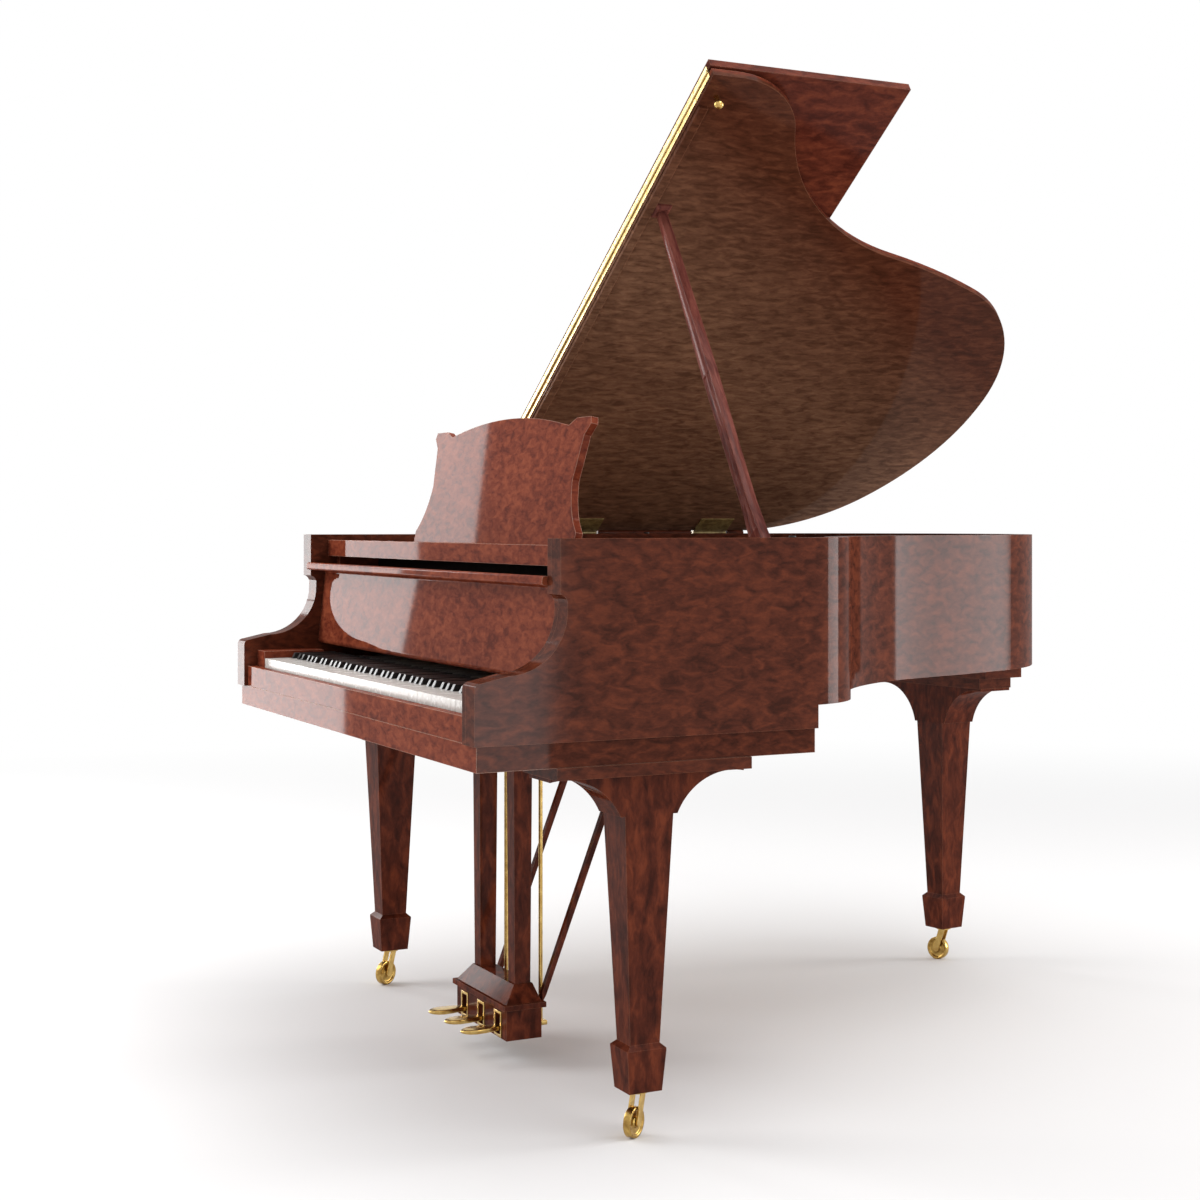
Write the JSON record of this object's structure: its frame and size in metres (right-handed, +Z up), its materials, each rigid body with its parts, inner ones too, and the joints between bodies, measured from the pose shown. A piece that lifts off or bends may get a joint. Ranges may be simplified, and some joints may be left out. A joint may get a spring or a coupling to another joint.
{
  "type": "grand_piano",
  "caption": "Small grand piano in glossy figured brown veneer, lid propped open with its front flap folded back, music desk raised, brass pedals and casters.",
  "frame": {"origin": "centre of the bounding box of the open piano, on the floor under the casters", "axes": "+X to the treble side, on the player's right; +Y from the keyboard to the tail; +Z up"},
  "size_m": [1.4812, 1.654, 1.8612],
  "materials": {
    "veneer": "gloss",
    "spruce": "satin",
    "maple": "satin",
    "gilt_iron": "satin",
    "steel": "polished",
    "brass": "polished",
    "ivory_white": "gloss",
    "key_black": "gloss",
    "felt_wood": "matte"
  },
  "bodies": {
    "case": {"arm_cheeks": "veneer", "belly_rail": "maple", "bridges": "maple", "butt_hinge_rim_leaves": "brass", "case_beams": "maple", "front_leg_left": "veneer", "front_leg_right": "veneer", "inner_rim": "maple", "iron_plate": "gilt_iron", "key_blocks": "veneer", "key_slip": "veneer", "keybed": "veneer", "leg_plates": "veneer", "lyre_box": "veneer", "lyre_braces": "veneer", "lyre_posts": "veneer", "outer_rim": "veneer", "pedal_pins": "steel", "pin_block": "maple", "prop_bracket": "brass", "rear_leg": "veneer", "shelf_runners": "maple", "soundboard": "spruce", "soundboard_ribs": "spruce", "strings": "steel", "tuning_pins": "steel"},
    "lid": {"lid_panel": "veneer", "lid_batten": "veneer", "lid_knob": "brass", "prop_cup": "veneer", "butt_hinge_lid_leaves": "brass", "strip_hinge_lid_leaf": "brass"},
    "flap": {"flap_panel": "veneer", "strip_hinge_flap_leaf": "brass"},
    "prop": {"lid_prop": "veneer"},
    "fallboard": {"fallboard": "veneer", "fallboard_pins": "steel"},
    "shelf": {"music_shelf": "veneer", "desk_hinge_shelf_leaves": "brass"},
    "desk": {"music_desk": "veneer", "desk_hinge_desk_leaves": "brass"},
    "action": {"key_frame": "maple", "action_frame": "maple", "hammers": "felt_wood"},
    "white_odd": {"white_keys_odd": "ivory_white"},
    "white_even": {"white_keys_even": "ivory_white"},
    "black": {"black_keys": "key_black"},
    "dampers": {"dampers": "felt_wood"},
    "pedal_left": {"pedal_left": "brass"},
    "rod_left": {"pedal_rod_left": "brass"},
    "pedal_middle": {"pedal_middle": "brass"},
    "rod_middle": {"pedal_rod_middle": "brass"},
    "pedal_right": {"pedal_right": "brass"},
    "rod_right": {"pedal_rod_right": "brass"},
    "fork_left": {"caster_fork_left": "brass"},
    "wheel_left": {"caster_wheel_left": "brass"},
    "fork_right": {"caster_fork_right": "brass"},
    "wheel_right": {"caster_wheel_right": "brass"},
    "fork_rear": {"caster_fork_rear": "brass"},
    "wheel_rear": {"caster_wheel_rear": "brass"}
  },
  "joints": [
    {"name": "lid_hinge", "type": "hinge", "parent": "case", "child": "lid", "pos_m": [-0.7254, 0.173, 1.0016], "axis": [0, -1, 0], "range_deg": [0, 40]},
    {"name": "flap_hinge", "type": "hinge", "parent": "lid", "child": "flap", "pos_m": [-0.12566, -0.2882, 1.42872], "axis": [0.8303, 0, 0.5573], "range_deg": [0, 172]},
    {"name": "prop_fold", "type": "hinge", "parent": "case", "child": "prop", "pos_m": [0.6746, -0.2752, 0.972], "axis": [-0.0583, -0.9983, 0], "range_deg": [0, 44]},
    {"name": "fallboard_hinge", "type": "hinge", "parent": "case", "child": "fallboard", "pos_m": [0.0106, -0.655, 0.77], "axis": [1, 0, 0], "range_deg": [0, 96]},
    {"name": "shelf_slide", "type": "slide", "parent": "case", "child": "shelf", "axis": [0, -1, 0], "range_m": [0, 0.08]},
    {"name": "desk_hinge", "type": "hinge", "parent": "shelf", "child": "desk", "pos_m": [0.0106, -0.514, 0.972], "axis": [-1, 0, 0], "range_deg": [0, 79]},
    {"name": "action_shift", "type": "slide", "parent": "case", "child": "action", "axis": [1, 0, 0], "range_m": [0, 0.00245], "stiffness_N_per_m": 4000, "springref_m": -0.005},
    {"name": "white_odd_press", "type": "hinge", "parent": "action", "child": "white_odd", "pos_m": [0.0106, -0.567, 0.712], "axis": [1, 0, 0], "range_deg": [0, 2.45], "stiffness_Nm_per_rad": 4, "springref_deg": -40.11},
    {"name": "white_even_press", "type": "hinge", "parent": "action", "child": "white_even", "pos_m": [0.0106, -0.567, 0.712], "axis": [1, 0, 0], "range_deg": [0, 2.45], "stiffness_Nm_per_rad": 4, "springref_deg": -40.11},
    {"name": "black_press", "type": "hinge", "parent": "action", "child": "black", "pos_m": [0.0106, -0.567, 0.712], "axis": [1, 0, 0], "range_deg": [0, 2.45], "stiffness_Nm_per_rad": 4, "springref_deg": -40.11},
    {"name": "pedal_left_press", "type": "hinge", "parent": "case", "child": "pedal_left", "pos_m": [-0.0794, -0.505, 0.064], "axis": [1, 0, 0], "range_deg": [0, 9.6]},
    {"name": "rod_left_lift", "type": "slide", "parent": "case", "child": "rod_left", "axis": [0, 0, 1], "range_m": [0, 0.0097]},
    {"name": "pedal_middle_press", "type": "hinge", "parent": "case", "child": "pedal_middle", "pos_m": [0.0106, -0.505, 0.064], "axis": [1, 0, 0], "range_deg": [0, 9.5], "stiffness_Nm_per_rad": 5, "springref_deg": -14.32},
    {"name": "rod_middle_lift", "type": "slide", "parent": "case", "child": "rod_middle", "axis": [0, 0, 1], "range_m": [0, 0.0097]},
    {"name": "pedal_right_press", "type": "hinge", "parent": "case", "child": "pedal_right", "pos_m": [0.1006, -0.505, 0.064], "axis": [1, 0, 0], "range_deg": [0, 9.5], "stiffness_Nm_per_rad": 5, "springref_deg": -14.32},
    {"name": "rod_right_lift", "type": "slide", "parent": "case", "child": "rod_right", "axis": [0, 0, 1], "range_m": [0, 0.0097]},
    {"name": "damper_lift", "type": "slide", "parent": "case", "child": "dampers", "axis": [0, 0, 1], "range_m": [0, 0.006]},
    {"name": "caster_left_swivel", "type": "hinge", "parent": "case", "child": "fork_left", "pos_m": [-0.6404, -0.508, 0.078], "axis": [0, 0, 1], "continuous": true},
    {"name": "caster_left_roll", "type": "hinge", "parent": "fork_left", "child": "wheel_left", "pos_m": [-0.63317, -0.52114, 0.026], "axis": [-0.8763, -0.4818, 0], "continuous": true},
    {"name": "caster_right_swivel", "type": "hinge", "parent": "case", "child": "fork_right", "pos_m": [0.6616, -0.508, 0.078], "axis": [0, 0, 1], "continuous": true},
    {"name": "caster_right_roll", "type": "hinge", "parent": "fork_right", "child": "wheel_right", "pos_m": [0.67042, -0.52014, 0.026], "axis": [-0.809, -0.5878, 0], "continuous": true},
    {"name": "caster_rear_swivel", "type": "hinge", "parent": "case", "child": "fork_rear", "pos_m": [-0.24239, 0.704, 0.078], "axis": [0, 0, 1], "continuous": true},
    {"name": "caster_rear_roll", "type": "hinge", "parent": "fork_rear", "child": "wheel_rear", "pos_m": [-0.25588, 0.69742, 0.026], "axis": [-0.4384, 0.8988, 0], "continuous": true}
  ],
  "couplings": [
    {"joint": "rod_middle_lift", "follows": "pedal_middle_press", "m_per_rad": 0.0579},
    {"joint": "rod_right_lift", "follows": "pedal_right_press", "m_per_rad": 0.0579},
    {"joint": "damper_lift", "follows": "pedal_right_press", "m_per_rad": 0.03558},
    {"joint": "pedal_left_press", "follows": "action_shift", "rad_per_m": 67.676},
    {"joint": "rod_left_lift", "follows": "action_shift", "ratio": 3.9184}
  ]
}
